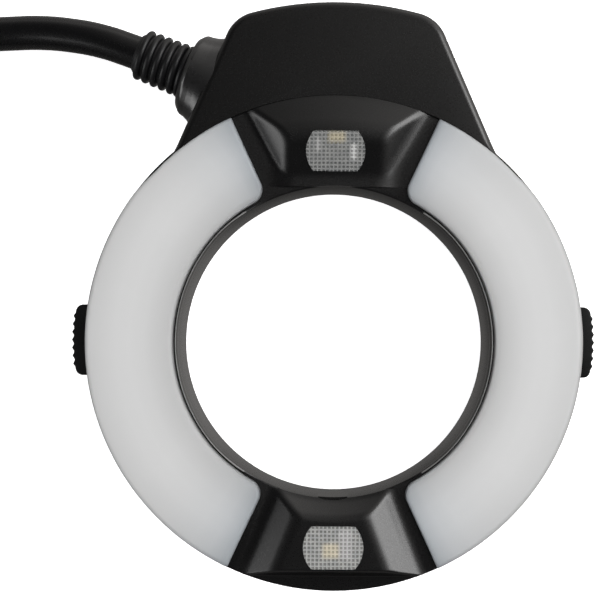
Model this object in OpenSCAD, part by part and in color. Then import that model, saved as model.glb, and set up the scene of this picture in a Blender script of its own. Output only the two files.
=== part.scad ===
// Macro ring flash head, lying on its back, with its cord.
// Origin: bore axis on the rear plane. +Z is the direction of the light,
// +Y points to the housing above the ring, +X is to the right of a viewer
// who looks into the front.

/* [Ring] */
// Outer radius of the black base ring
base_r = 53; // [52.6:0.1:53.2]
// Outer radius of the rear casing wall
casing_r = 52.8; // [52.4:0.1:52.9]
// Bore radius at the front lip
bore_front_r = 33.3; // [33.1:0.1:33.4]
// Bore radius at its rear edge
bore_rear_r = 32.4; // [32.2:0.1:33]
// Radius of the adapter seat
seat_r = 36; // [35.6:0.1:36.2]
// Radius of the mouth in the rear cover
mouth_r = 36.5; // [36.3:0.1:36.8]

/* [Diffusers] */
// Outer radius of a diffuser
diffuser_r = 52.3; // [51.8:0.1:52.6]
// Half of the angle that a diffuser spans
diffuser_half = 65; // [63:0.1:65.2]
// Height of the diffuser crown above the rear plane
diffuser_top = 20; // [19.9:0.1:21]

/* [Housing] */
// Highest point of the housing along Y
housing_top = 72.5; // [71.5:0.1:73.5]
// Radius of the housing's upper edge
housing_top_r = 70; // [60:1:90]
// Corner radius of the housing
housing_corner_r = 8; // [7:0.1:9]
// Height of the housing's front face
housing_front = 17.5; // [17.2:0.1:18.5]

/* [Release buttons] */
// Distance from the bore axis to a button's outer face
button_x = 57; // [56.6:0.1:57.6]
// Width of a button
button_w = 15.4; // [14:0.1:15.6]
// Travel of a button
button_travel = 2.5; // [2.3:0.1:2.6]
// Number of grip ribs on a button
button_ribs = 8; // [6:1:8]

/* [Lamps] */
// Width of a lamp window
window_w = 12.65; // [11:0.05:12.8]
// Height of a lamp window
window_h = 9.2; // [8:0.1:9.3]
// Tilt of the upper lamp towards the bore axis
lamp_tilt = 20.2; // [19:0.1:21]

/* [Cord] */
// Diameter of the cable
cable_d = 7.4; // [7:0.1:7.4]
// Height of the gland axis above the rear plane
gland_z = 9; // [8.8:0.1:9.2]
// Outer diameter of the plug body
plug_d = 12.4; // [11:0.1:12.4]

/* [Hidden] */
$fn = 96;

// heights of the layers
cover_t = 2;          // rear cover
yoke_z0 = 2.25;       // latch yokes
yoke_z1 = 4;
seat_z0 = 4.25;       // chassis plate and adapter seat
seat_z1 = 6.4;        // shoulder of the seat
split_z = 13.5;       // rear casing meets the front frame
house_z = 12.5;       // rear casing meets the housing cover
rim_z = 16.5;         // flat rim of the base ring
lip_z = 18.7;         // front lip of the bore
lap_r = 52.45;        // lower edge of the housing's front face
wall = 1.6;

// housing outline: a side line, a corner circle and a top arc
side_p = [24.05, 63.8];
side_d = [-0.4, 0.9165];
side_n = [-0.9165, -0.4];
top_c = [0, housing_top - housing_top_r];
corner_q = side_p + housing_corner_r * side_n - top_c;
corner_b = corner_q * side_d;
corner_k = corner_q * corner_q - pow(housing_top_r - housing_corner_r, 2);
corner_t = -corner_b + sqrt(corner_b * corner_b - corner_k);
corner_c = side_p + housing_corner_r * side_n + corner_t * side_d;
function flip(p) = [-p[0], p[1]];
function unit(v) = v / norm(v);

// guide posts of the upper yoke; the lower yoke has the same, turned by half a turn
posts = [[1.25, 44.2], [22.4, 38.8], [-21.65, 37.5]];
boss_angles = [75, 105, 255, 285];
boss_ring = 38.2;
board_holes = [[8.5, 63.5], [-8.5, 63.5], [8.5, 54], [-8.5, 54]];

// gland axis in the XY plane
gland_p = [-32.3, 58.9, gland_z];
gland_a = 158.3;
gland_u = [cos(gland_a), sin(gland_a), 0];

// route of the cable from the gland to the coil, and from the coil to the plug
cable_r = cable_d / 2;
coil_c = [-130, 19, 0];
coil_in = 36.9;
coil_out = 51.7;
lead_pts = concat(
  [gland_p - 13 * gland_u, gland_p, gland_p + 12 * gland_u],
  [[-51, 65.9, 8.6], [-58, 67.3, 7.6], [-65, 67.9, 6.3], [-72, 68, 5.1],
   [-80, 67.7, 4.3], [-90, 67.3, 3.9], [-104, 67, 3.7], [-118, 67, 3.7]]);
plug_a = 142;
plug_u = [cos(plug_a), sin(plug_a), 0];
plug_p = [-96.7, 47, 14.4];
tail_polar = [[296, 40.8, 6.2], [308, 41.2, 8.6], [322, 41.8, 10.8], [338, 42.4, 12.2],
  [354, 43, 13], [10, 43.3, 13.7], [24, 43.4, 14.2]];
tail_pts = concat(
  [for (t = tail_polar) coil_c + [t[1] * cos(t[0]), t[1] * sin(t[0]), t[2]]],
  [plug_p, plug_p + 6 * plug_u]);
tie_a = 195;

// ---------------------------------------------------------------- shared shapes

module housing_2d(t = 0) {
  r = housing_corner_r - t;
  tr = corner_c - r * side_n;
  fr = tr - side_d * ((tr[1] - 38) / side_d[1]);
  far = top_c + 1.2 * housing_top_r * unit(corner_c - top_c);
  polygon([fr, tr, corner_c, flip(corner_c), flip(tr), flip(fr)]);
  translate(corner_c) circle(r);
  translate(flip(corner_c)) circle(r);
  intersection() {
    translate(top_c) circle(housing_top_r - t, $fn = 240);
    polygon([flip(corner_c), corner_c, far, flip(far)]);
  }
}

module disc(r, z0, z1) translate([0, 0, z0]) cylinder(r = r, h = z1 - z0, $fn = 180);

module ring(ro, ri, z0, z1) difference() {
  disc(ro, z0, z1);
  disc(ri, z0 - 1, z1 + 1);
}

module block(x0, x1, y0, y1, z0, z1)
  translate([x0, y0, z0]) cube([x1 - x0, y1 - y0, z1 - z0]);

module at_posts() for (p = posts, s = [1, -1]) translate([s * p[0], s * p[1], 0]) children();

module at_bosses() for (a = boss_angles) rotate(a) translate([boss_ring, 0, 0]) children();

module along_gland(s) translate(gland_p + s * gland_u) rotate([0, 0, gland_a]) rotate([0, 90, 0]) children();

module along_plug(s) translate(plug_p + s * plug_u) rotate([0, 0, plug_a]) rotate([0, 90, 0]) children();

module arc_of(a0, a1) rotate(a0) rotate_extrude(angle = a1 - a0, $fn = 180) children();

// barrel outline of a lamp window: straight top and bottom, bowed ends
module barrel(w, h) intersection() {
  square([w, h], center = true);
  translate([10 - w / 2, 0]) circle(10, $fn = 160);
  translate([w / 2 - 10, 0]) circle(10, $fn = 160);
}

module upper_lamp_frame() translate([0, 39.85, 18.95]) rotate([lamp_tilt, 0, 0]) children();

module lower_lamp_frame() translate([0, -43.05, 20]) children();

// a round tube along a list of points
function tangent(p, i) = unit(p[min(i + 1, len(p) - 1)] - p[max(i - 1, 0)]);
function loop_at(p, i, r, n) =
  let (t = tangent(p, i), s = unit(cross(t, [0, 0, 1])), u = cross(s, t))
  [for (k = [0 : n - 1]) p[i] + r * (cos(360 * k / n) * s + sin(360 * k / n) * u)];
module tube(p, r, n = 12) {
  m = len(p);
  polyhedron(
    points = [for (i = [0 : m - 1]) each loop_at(p, i, r, n)],
    faces = concat(
      [[for (k = [0 : n - 1]) k]],
      [[for (k = [0 : n - 1]) (m - 1) * n + n - 1 - k]],
      [for (i = [0 : m - 2], k = [0 : n - 1]) each
        [[i * n + k, (i + 1) * n + k, i * n + (k + 1) % n],
         [i * n + (k + 1) % n, (i + 1) * n + k, (i + 1) * n + (k + 1) % n]]]));
}

// ---------------------------------------------------------------- shells

module rear_cover() color("dimgray") difference() {
  linear_extrude(cover_t) difference() {
    union() {
      circle(casing_r, $fn = 180);
      housing_2d(0);
    }
    circle(mouth_r, $fn = 180);
  }
  at_posts() {
    disc(0.95, -1, cover_t + 1);
    translate([0, 0, -0.01]) cylinder(r1 = 2.1, r2 = 0.95, h = 1.15);
  }
  for (p = [corner_c, flip(corner_c)]) translate(p) {
    disc(0.95, -1, cover_t + 1);
    translate([0, 0, -0.01]) cylinder(r1 = 2.1, r2 = 0.95, h = 1.15);
  }
}

module rear_casing() color("dimgray") difference() {
  union() {
    translate([0, 0, cover_t]) linear_extrude(house_z - cover_t) difference() {
      union() {
        circle(casing_r, $fn = 180);
        housing_2d(0);
      }
      circle(casing_r - 1.9, $fn = 180);
      housing_2d(wall);
    }
    // the ring wall goes on up to the front frame
    translate([0, 0, house_z - 1]) linear_extrude(split_z - house_z + 1) difference() {
      circle(casing_r, $fn = 180);
      circle(casing_r - 1.9, $fn = 180);
      housing_2d(wall);
    }
    // screw posts of the housing, each on a rib
    for (m = [0, 1]) mirror([m, 0, 0]) translate(corner_c) {
      disc(2.6, cover_t, house_z);
      rotate(40) block(0, 7.4, -0.7, 0.7, cover_t + 1, house_z);
    }
    // round boss of the cable gland
    difference() {
      intersection() {
        along_gland(0) rotate_extrude() polygon([[0, -9], [8.85, -9], [8.85, -1.8], [7, 0], [0, 0]]);
        block(-60, 0, 30, 90, cover_t, housing_front - 0.1);
      }
      translate([0, 0, house_z]) linear_extrude(20) housing_2d(-0.05);
      linear_extrude(house_z) housing_2d(wall - 0.6);
    }
  }
  // bore of the boss
  along_gland(-12) cylinder(r = 4.3, h = 16);
  // slots of the release buttons
  for (s = [-1, 1]) translate([s * 52, 0, 0]) block(-4, 4, -8, 8, cover_t - 1, 10.6);
  for (p = [corner_c, flip(corner_c)]) translate(p) disc(0.9, cover_t - 1, 10);
}

module chassis() color("gray") difference() {
  union() {
    disc(casing_r - 2.4, seat_z0, seat_z1);
    block(-12, 12, 47, 66.5, seat_z0, 5.9);
    at_posts() disc(1.6, cover_t, seat_z0 + 0.5);
    for (p = board_holes) translate(p) disc(1.8, 5, 8);
    for (s = [-1, 1]) scale([s, 1, 1]) {
      block(42.2, 43.8, -2.6, 2.6, seat_z1 - 0.5, 10.6);
      translate([43, 0, 8.4]) rotate([0, 90, 0]) cylinder(r = 0.9, h = 2.6);
    }
  }
  disc(seat_r, 0, 20);
  // room for the buttons
  for (s = [-1, 1]) scale([s, 1, 1]) block(45.7, 60, -8.2, 8.2, 0, 20);
  at_posts() disc(0.8, 1, 5.8);
  at_bosses() {
    disc(0.95, 0, 10);
    translate([0, 0, seat_z0 - 0.01]) cylinder(r1 = 1.8, r2 = 0.95, h = 0.9);
  }
  for (p = board_holes) translate(p) disc(0.7, 5.2, 9);
}

// plan of the upper pod at the rim, and of the room inside it
module upper_pod_2d() polygon(concat(
  [[-10.95, 35.2], [10.95, 35.2], [18.7, 48]],
  [for (a = [69 : 3 : 111]) 52.4 * [cos(a), sin(a)]],
  [[-18.7, 48]]));
module lower_pod_2d() polygon(concat(
  [[12.5, -32.4], [-12.5, -32.4], [-18.75, -48.9]],
  [for (a = [-111 : 3 : -69]) 52.9 * [cos(a), sin(a)]],
  [[18.75, -48.9]]));

module front_frame() color("black") difference() {
  union() {
    disc(39, seat_z1, 7.6);
    disc(34.6, seat_z1, rim_z);
    // flat rim, open under the diffusers
    difference() {
      disc(base_r, 14.9, rim_z);
      for (a = [0, 180]) arc_of(a - 61.5, a + 61.5) translate([36.5, 14]) square([13.7, 4]);
    }
    ring(base_r, 51.1, split_z, 14.95);
    at_bosses() disc(2.2, seat_z1, 15);
    // lip of the bore beside the diffusers
    for (a = [0, 180]) arc_of(a - diffuser_half, a + diffuser_half)
      translate([32.8, rim_z - 0.2]) square([1.15, lip_z - rim_z + 0.2]);
    // lamp pods
    hull() {
      translate([0, 0, rim_z - 0.1]) linear_extrude(0.1) upper_pod_2d();
      upper_lamp_frame() translate([0, 0, -0.1]) linear_extrude(0.1) square([21.6, 10.1], center = true);
    }
    hull() {
      translate([0, 0, rim_z - 0.1]) linear_extrude(0.1) lower_pod_2d();
      translate([0, 0, 19.9]) linear_extrude(0.1)
        polygon([[-7.65, -37.15], [7.65, -37.15], [11.8, -48.1], [-11.8, -48.1]]);
    }
  }
  // bore with a little draft
  translate([0, 0, seat_z1 - 1]) cylinder(
    r1 = bore_rear_r - (bore_front_r - bore_rear_r) / (lip_z - seat_z1),
    r2 = bore_front_r + 4 * (bore_front_r - bore_rear_r) / (lip_z - seat_z1),
    h = lip_z - seat_z1 + 5, $fn = 180);
  // room inside the pods
  hull() {
    translate([0, 0, 14]) linear_extrude(0.8)
      polygon([[-9.2, 36.8], [9.2, 36.8], [15.6, 47.2], [8, 50], [-8, 50], [-15.6, 47.2]]);
    upper_lamp_frame() translate([0, 0, -1.7]) linear_extrude(0.1) square([18.4, 7.4], center = true);
  }
  hull() {
    translate([0, 0, 14]) linear_extrude(0.8)
      polygon([[-10.5, -35.8], [10.5, -35.8], [16, -47.4], [8, -50.3], [-8, -50.3], [-16, -47.4]]);
    translate([0, 0, 18.4]) linear_extrude(0.1)
      polygon([[-6.6, -38.4], [6.6, -38.4], [9.8, -46.8], [-9.8, -46.8]]);
  }
  upper_lamp_frame() translate([0, 0.2, -4]) linear_extrude(8) barrel(window_w + 0.1, window_h + 0.1);
  lower_lamp_frame() translate([0, 0, -4]) linear_extrude(8) barrel(window_w + 0.1, window_h + 0.1);
  at_bosses() disc(0.9, 5, 12);
  // small notch in the edge of the bore, at the foot of the lower pod
  block(-3, 3, -33.6, -32, 15.6, 18);
}

module housing_cover() color("black") difference() {
  translate([0, 0, house_z]) linear_extrude(housing_front - house_z) difference() {
    housing_2d(0);
    circle(lap_r, $fn = 180);
  }
  // the front plate laps over the rim of the ring
  disc(base_r + 0.15, house_z - 1, rim_z + 0.1);
  translate([0, 0, house_z - 1]) linear_extrude(housing_front - 1.5 - house_z + 1) difference() {
    housing_2d(wall);
    circle(base_r + 1.7, $fn = 180);
  }
  along_gland(-16) cylinder(r = cable_r + 0.15, h = 20);
}

// ---------------------------------------------------------------- light

// section of a diffuser: outside, then the room inside it
dome = diffuser_top - 20;
diffuser_out = [[34.05, rim_z], [34.05, 18.5], [34.3, 18.95], [35, 19.35 + dome], [36.4, 19.65 + dome],
  [39, 19.9 + dome], [43, 20 + dome], [47, 19.9 + dome], [diffuser_r - 2.5, 19.6 + dome],
  [diffuser_r - 0.9, 19 + dome], [diffuser_r - 0.2, 18.3], [diffuser_r, 17.6], [diffuser_r, rim_z]];
diffuser_room = [[diffuser_r - 1.2, rim_z - 1], [diffuser_r - 1.2, 17.4], [diffuser_r - 1.7, 17.9],
  [diffuser_r - 2.9, 18.3], [47, 18.6 + dome], [43, 18.7 + dome], [39.2, 18.6 + dome], [36.9, 18.35],
  [35.8, 18], [35.3, 17.5], [35.3, rim_z - 1]];

module diffuser(a) color("whitesmoke") difference() {
  arc_of(a - diffuser_half, a + diffuser_half) polygon(diffuser_out);
  arc_of(a - diffuser_half + 1.7, a + diffuser_half - 1.7) polygon(diffuser_room);
}
module left_diffuser() diffuser(180);
module right_diffuser() diffuser(0);

module reflector(a) color("silver") arc_of(a - 60, a + 60) polygon([
  [37.1, 17.6], [37.5, 15], [39, 11.8], [40, 11], [46.6, 11], [47.7, 11.8], [49.2, 15], [49.6, 17.6],
  [49, 17.6], [48.6, 15.2], [47.2, 12.2], [46.3, 11.6], [40.3, 11.6], [39.5, 12.2], [38.1, 15.2], [37.7, 17.6]]);
module left_reflector() reflector(180);
module right_reflector() reflector(0);

module flash_tube(a) color("lightcyan") arc_of(a - 57.5, a + 57.5) translate([43.3, 15]) difference() {
  circle(2.5, $fn = 40);
  circle(1.8, $fn = 40);
}
module left_flash_tube() flash_tube(180);
module right_flash_tube() flash_tube(0);

module tube_end_boots() color("white") for (a = [0, 180], e = [-1, 1])
  rotate(a) arc_of(e > 0 ? 52.5 : -56.5, e > 0 ? 56.5 : -52.5) translate([43.3, 15]) difference() {
    circle(3.35, $fn = 40);
    circle(2.55, $fn = 40);
  }

module window() {
  translate([0, 0, -1.5]) linear_extrude(1.8) barrel(window_w, window_h);
}
module upper_lamp_window() color("gainsboro") upper_lamp_frame() translate([0, 0.2, 0]) window();
module lower_lamp_window() color("gainsboro") lower_lamp_frame() window();

module led_board(y0) translate([-7, y0, -5]) cube([14, 7.2, 1]);
module upper_led_board() color("white") upper_lamp_frame() led_board(-2.4);
module lower_led_board() color("white") lower_lamp_frame() led_board(-4.6);

module led(y) translate([0, y, 0]) {
  translate([-1.75, -1.5, -4]) cube([3.5, 3, 0.7]);
  translate([0, 0, -3.5]) cylinder(r = 1.2, h = 0.7);
}
module upper_focus_led() color("gold") upper_lamp_frame() led(2.8);
module lower_focus_led() color("gold") lower_lamp_frame() led(-1.5);

// ---------------------------------------------------------------- electronics

module main_board() color("darkgreen") difference() {
  block(-11.5, 11.5, 52, 65.8, 8, 9.2);
  for (p = board_holes) translate(p) disc(0.9, 7, 10);
}
module trigger_transformer() color("darkorange") translate([-9, 59.5, 12.2]) rotate([0, 90, 0]) {
  cylinder(r = 3, h = 1);
  translate([0, 0, 1]) cylinder(r = 2.5, h = 7);
  translate([0, 0, 8]) cylinder(r = 3, h = 1);
}
module trigger_capacitor() color("firebrick") {
  block(1, 8, 56.2, 61.2, 9.2, 14.2);
}
module wire_header() color("ivory") difference() {
  block(-4, 4, 52.9, 55.5, 9.2, 12.1);
  block(-3.4, 3.4, 53.5, 54.9, 10, 14);
}
module lead_wires() color("red") {
  for (a = [0, 180], r = [38.4, 40.2]) arc_of(a - 66, a + 66) translate([r, 8.8]) circle(0.6, $fn = 24);
  for (k = [-1, 0, 1]) {
    p = gland_p - 13.6 * gland_u + 1.6 * k * [-gland_u[1], gland_u[0], 0] + [0, 0, 1 + 0.3 * k];
    q = [-11.9, 57.5 - 1.6 * k, 8.6];
    v = q - p;
    translate(p) rotate([0, acos(v[2] / norm(v)), atan2(v[1], v[0])]) cylinder(r = 0.6, h = norm(v), $fn = 24);
  }
}

// ---------------------------------------------------------------- fasteners

module board_screws() color("silver") for (p = board_holes) translate(p) {
  disc(0.65, 5.4, 9.3);
  difference() {
    disc(1.5, 9.2, 10.2);
    for (q = [0, 90]) rotate(q) block(-0.9, 0.9, -0.18, 0.18, 9.7, 11);
  }
}
module countersunk(z, r_head, r, l) translate([0, 0, z]) difference() {
  union() {
    cylinder(r1 = r_head, r2 = r, h = 0.9);
    cylinder(r = r, h = l);
  }
  for (q = [0, 90]) rotate(q) block(-0.9, 0.9, -0.18, 0.18, -1, 0.45);
}
module chassis_screws() color("silver") at_bosses() countersunk(seat_z0, 1.65, 0.8, 7);
module rear_screws() color("silver") {
  at_posts() countersunk(0.06, 1.9, 0.75, 5.2);
  for (p = [corner_c, flip(corner_c)]) translate(p) countersunk(0.06, 1.9, 0.75, 8.6);
}

// ---------------------------------------------------------------- release latch

// sprung yoke: a half ring that joins a button to the claw on the other side
module yoke() difference() {
  translate([0, 0, yoke_z0]) linear_extrude(yoke_z1 - yoke_z0) union() {
    difference() {
      intersection() {
        circle(47.6, $fn = 180);
        translate([-60, 0.7]) square([105.5, 60]);
      }
      circle(41, $fn = 180);
    }
    // stem behind the button
    translate([-51.2, 0.7]) square([8, 5.8]);
    // claw
    intersection() {
      difference() {
        circle(43, $fn = 180);
        circle(34.6, $fn = 180);
      }
      translate([20, 0.7]) square([25, 7.8]);
    }
  }
  // slots over the guide posts
  for (p = posts) {
    translate(p) disc(1.85, 0, 8);
    translate(p - [button_travel, 0]) disc(1.85, 0, 8);
    translate(p) block(-button_travel, 0, -1.85, 1.85, 0, 8);
  }
}
module left_release_yoke() color("lightgray") yoke();
module right_release_yoke() color("lightgray") rotate(180) yoke();

module button() {
  rib = 0.55;
  face = button_x - rib * 0.8;
  hw = button_w / 2;
  // cap with two round corners
  translate([0, 0, 2.4]) linear_extrude(7.8) union() {
    translate([-face + 2.2, -hw]) square([face - 2.2 - 51.2, button_w]);
    translate([-face, -hw + 2.2]) square([face - 51.2, button_w - 4.4]);
    for (s = [-1, 1]) translate([-face + 2.2, s * (hw - 2.2)]) circle(2.2);
  }
  for (k = [0 : button_ribs - 1])
    translate([-face + 0.2 * rib, (k - (button_ribs - 1) / 2) * (button_w - 4.4) / (button_ribs - 1), 2.9])
      cylinder(r = rib, h = 6.8, $fn = 32);
  // shank and the flange that keeps it in
  block(-51.3, -48.8, -7.4, 7.4, 4.3, 10.2);
  block(-49.8, -48.8, -9.2, 9.2, 6.8, 9.8);
  block(-51.2, -48.8, 1, 6, yoke_z1, 4.4);
}
module left_release_button() color("black") button();
module right_release_button() color("black") rotate(180) button();

// return spring between the flange and its seat on the chassis
spring_n = 16;
spring_turns = 4.5;
function spring_ring(i, m) =
  let (a = 360 * spring_turns * i / m, x = -48.5 + 4.4 * i / m)
  [for (k = [0 : 5]) [x + 0.25 * sin(60 * k), (1.55 + 0.25 * cos(60 * k)) * cos(a), 8.4 + (1.55 + 0.25 * cos(60 * k)) * sin(a)]];
module return_spring() {
  m = spring_n * spring_turns;
  polyhedron(
    points = [for (i = [0 : m]) each spring_ring(i, m)],
    faces = concat(
      [[for (k = [0 : 5]) k]],
      [[for (k = [0 : 5]) m * 6 + 5 - k]],
      [for (i = [0 : m - 1], k = [0 : 5]) each
        [[i * 6 + k, (i + 1) * 6 + k, i * 6 + (k + 1) % 6],
         [i * 6 + (k + 1) % 6, (i + 1) * 6 + k, (i + 1) * 6 + (k + 1) % 6]]]));
}
module left_return_spring() color("silver") return_spring();
module right_return_spring() color("silver") rotate(180) return_spring();

// ---------------------------------------------------------------- cord

module strain_relief() color("black") difference() {
  union() {
    along_gland(-5) cylinder(r = 4.2, h = 6);
    along_gland(0) cylinder(r = 6, h = 0.9);
    along_gland(0.5) cylinder(r1 = 4.7, r2 = 4.4, h = 10.2);
    for (k = [0 : 4]) along_gland(1.6 + 1.965 * k) rotate_extrude()
      polygon([[3.9, 0], [4.9 - 0.06 * k, 0], [5.45 - 0.06 * k, 0.35], [5.45 - 0.06 * k, 0.75], [4.9 - 0.06 * k, 1.1], [3.9, 1.1]]);
    along_gland(10.6) cylinder(r1 = 4.4, r2 = 4.1, h = 0.9);
  }
  along_gland(-8) cylinder(r = cable_r + 0.02, h = 22);
}
module cable_clamp() color("gray") difference() {
  translate(gland_p - 10.6 * gland_u) rotate(gland_a) {
    block(-1.5, 1.5, -6, 6, cover_t - gland_z, 1.5);
    rotate([0, 90, 0]) translate([0, 0, -1.5]) cylinder(r = 4.8, h = 3);
  }
  along_gland(-14) cylinder(r = cable_r + 0.02, h = 8);
}

module cable_lead() color("black") tube(lead_pts, cable_r);

module cable_coil() color("black") translate([coil_c[0], coil_c[1], 0]) rotate_extrude($fn = 120)
  polygon([[coil_in + 2, 0.8], [coil_out - 2, 0.8], [coil_out, 2.8], [coil_out, 6], [coil_out - 2, 8],
    [coil_in + 2, 8], [coil_in, 6], [coil_in, 2.8]]);

module cable_tail() color("black") tube(tail_pts, cable_r);

module cable_tie() color("black") translate([coil_c[0], coil_c[1], 0]) rotate(tie_a) {
  difference() {
    block(coil_in - 1.2, coil_out + 0.95, -4.5, 4.5, 0, 8.8);
    block(coil_in - 0.45, coil_out + 0.2, -5, 5, 0.75, 8.05);
  }
  block(41, 47, -4.9, 4.9, 8.7, 10);
}

module plug_boot() color("black") difference() {
  union() {
    along_plug(0) cylinder(r1 = 4.4, r2 = 5.2, h = 13);
    for (k = [0 : 4]) along_plug(1.4 + 2.3 * k) cylinder(r = 4.9 + 0.14 * k, h = 1.2);
  }
  along_plug(-1) cylinder(r = cable_r + 0.02, h = 9);
  along_plug(-0.5) cylinder(r = cable_r + 0.25, h = 1.5);
}
module plug_body() color("black") difference() {
  along_plug(13) rotate_extrude() polygon([[0, 0], [plug_d / 2 - 0.8, 0], [plug_d / 2, 1.6],
    [plug_d / 2, 15.6], [plug_d / 2 - 0.8, 17], [0, 17]]);
  for (k = [0 : 3]) along_plug(16.4 + 2.6 * k) rotate_extrude()
    translate([plug_d / 2 - 0.45, 0]) square([3, 1.2]);
}
module plug_shell() color("silver") difference() {
  along_plug(30) cylinder(r = 4.75, h = 9);
  along_plug(29) cylinder(r = 4.2, h = 12);
}
pin_spots = concat([[0, 0]], [for (a = [30 : 60 : 330]) 2.5 * [cos(a), sin(a)]]);
module plug_insert() color("black") difference() {
  along_plug(30) cylinder(r = 4.15, h = 4.5);
  for (p = pin_spots) along_plug(29) translate(p) cylinder(r = 0.55, h = 8, $fn = 32);
}
module plug_pins() color("gold") for (p = pin_spots) along_plug(30) translate(p) {
  cylinder(r = 0.5, h = 7.6, $fn = 32);
  translate([0, 0, 7.6]) cylinder(r1 = 0.5, r2 = 0.25, h = 0.5, $fn = 32);
}

// ---------------------------------------------------------------- assembly

rear_cover();
rear_casing();
chassis();
front_frame();
housing_cover();
left_diffuser();
right_diffuser();
upper_lamp_window();
lower_lamp_window();
upper_led_board();
lower_led_board();
upper_focus_led();
lower_focus_led();
left_reflector();
right_reflector();
left_flash_tube();
right_flash_tube();
tube_end_boots();
main_board();
trigger_transformer();
trigger_capacitor();
wire_header();
lead_wires();
board_screws();
chassis_screws();
rear_screws();
strain_relief();
cable_clamp();
left_return_spring();
right_return_spring();
left_release_button();
right_release_button();
left_release_yoke();
right_release_yoke();
cable_lead();
cable_coil();
cable_tail();
cable_tie();
plug_boot();
plug_body();
plug_shell();
plug_insert();
plug_pins();
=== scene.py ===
import math

import bmesh
import bpy
from mathutils import Matrix, Vector


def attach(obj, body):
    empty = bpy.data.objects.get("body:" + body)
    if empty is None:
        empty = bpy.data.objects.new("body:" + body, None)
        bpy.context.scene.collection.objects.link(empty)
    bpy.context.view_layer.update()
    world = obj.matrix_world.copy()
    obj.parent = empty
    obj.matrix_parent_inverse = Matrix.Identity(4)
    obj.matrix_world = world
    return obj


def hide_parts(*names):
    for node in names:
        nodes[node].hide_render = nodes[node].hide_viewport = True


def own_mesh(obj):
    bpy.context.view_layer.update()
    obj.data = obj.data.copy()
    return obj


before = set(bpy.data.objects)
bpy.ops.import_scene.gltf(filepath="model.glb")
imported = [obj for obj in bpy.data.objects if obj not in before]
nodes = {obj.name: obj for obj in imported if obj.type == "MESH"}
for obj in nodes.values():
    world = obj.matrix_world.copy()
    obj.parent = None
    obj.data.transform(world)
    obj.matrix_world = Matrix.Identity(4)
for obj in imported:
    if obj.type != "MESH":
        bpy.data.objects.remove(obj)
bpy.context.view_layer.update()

MM = 0.001
scene = bpy.context.scene
scene.view_settings.view_transform = "Standard"

# ---------------------------------------------------------------- camera
F_PX = 1318.0
cam_data = bpy.data.cameras.new("camera")
cam = bpy.data.objects.new("camera", cam_data)
scene.collection.objects.link(cam)
scene.camera = cam
cam_data.sensor_fit = "HORIZONTAL"
cam_data.sensor_width = 36.0
cam_data.lens = F_PX * 36.0 / 600.0
cam_data.shift_x = -24.0 / 600.0
cam_data.shift_y = 35.5 / 600.0
cam_data.clip_start, cam_data.clip_end = 0.01, 20.0
cam.location = (-2.09 * MM, 1.29 * MM, 297 * MM)
cam.rotation_euler = (0, 0, math.radians(0.4))


# ---------------------------------------------------------------- materials
def links_of(mat):
    mat.use_nodes = True
    tree = mat.node_tree
    tree.nodes.clear()
    out = tree.nodes.new("ShaderNodeOutputMaterial")
    sh = tree.nodes.new("ShaderNodeBsdfPrincipled")
    tree.links.new(sh.outputs["BSDF"], out.inputs["Surface"])
    co = tree.nodes.new("ShaderNodeTexCoord")
    return tree, sh, co.outputs["Object"]


def noise(tree, vec, scale, detail=3.0, rough=0.55):
    n = tree.nodes.new("ShaderNodeTexNoise")
    n.inputs["Scale"].default_value = scale
    n.inputs["Detail"].default_value = detail
    n.inputs["Roughness"].default_value = rough
    tree.links.new(vec, n.inputs["Vector"])
    return n.outputs["Fac"]


def ramp(tree, fac, stops):
    r = tree.nodes.new("ShaderNodeValToRGB")
    el = r.color_ramp.elements
    while len(el) < len(stops):
        el.new(0.5)
    for e, (p, c) in zip(el, stops):
        e.position = p
        e.color = (*c, 1.0)
    tree.links.new(fac, r.inputs["Fac"])
    return r.outputs["Color"]


def span(tree, fac, lo, hi, a=0.3, b=0.7):
    m = tree.nodes.new("ShaderNodeMapRange")
    m.inputs["From Min"].default_value = a
    m.inputs["From Max"].default_value = b
    m.inputs["To Min"].default_value = lo
    m.inputs["To Max"].default_value = hi
    tree.links.new(fac, m.inputs["Value"])
    return m.outputs["Result"]


def bump(tree, sh, height, strength, dist):
    b = tree.nodes.new("ShaderNodeBump")
    b.inputs["Strength"].default_value = strength
    b.inputs["Distance"].default_value = dist
    tree.links.new(height, b.inputs["Height"])
    tree.links.new(b.outputs["Normal"], sh.inputs["Normal"])


def plastic(name, color, rough=0.42, grain=4200.0, strength=0.12, dist=0.000014, spec=0.5,
            vary=0.18, drift=90.0, rough_vary=0.04):
    """Moulded plastic: spark-erosion grain, faint drift of tone and of gloss."""
    mat = bpy.data.materials.new(name)
    tree, sh, co = links_of(mat)
    sh.inputs["Specular IOR Level"].default_value = spec
    tone = noise(tree, co, drift, 4.0)
    dark = tuple(c * (1 - vary) for c in color)
    light = tuple(min(1.0, c * (1 + vary)) for c in color)
    tree.links.new(ramp(tree, tone, [(0.3, dark), (0.7, light)]), sh.inputs["Base Color"])
    g = noise(tree, co, grain, 2.0)
    tree.links.new(span(tree, g, rough - rough_vary, rough + rough_vary), sh.inputs["Roughness"])
    bump(tree, sh, g, strength, dist)
    return mat


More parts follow.
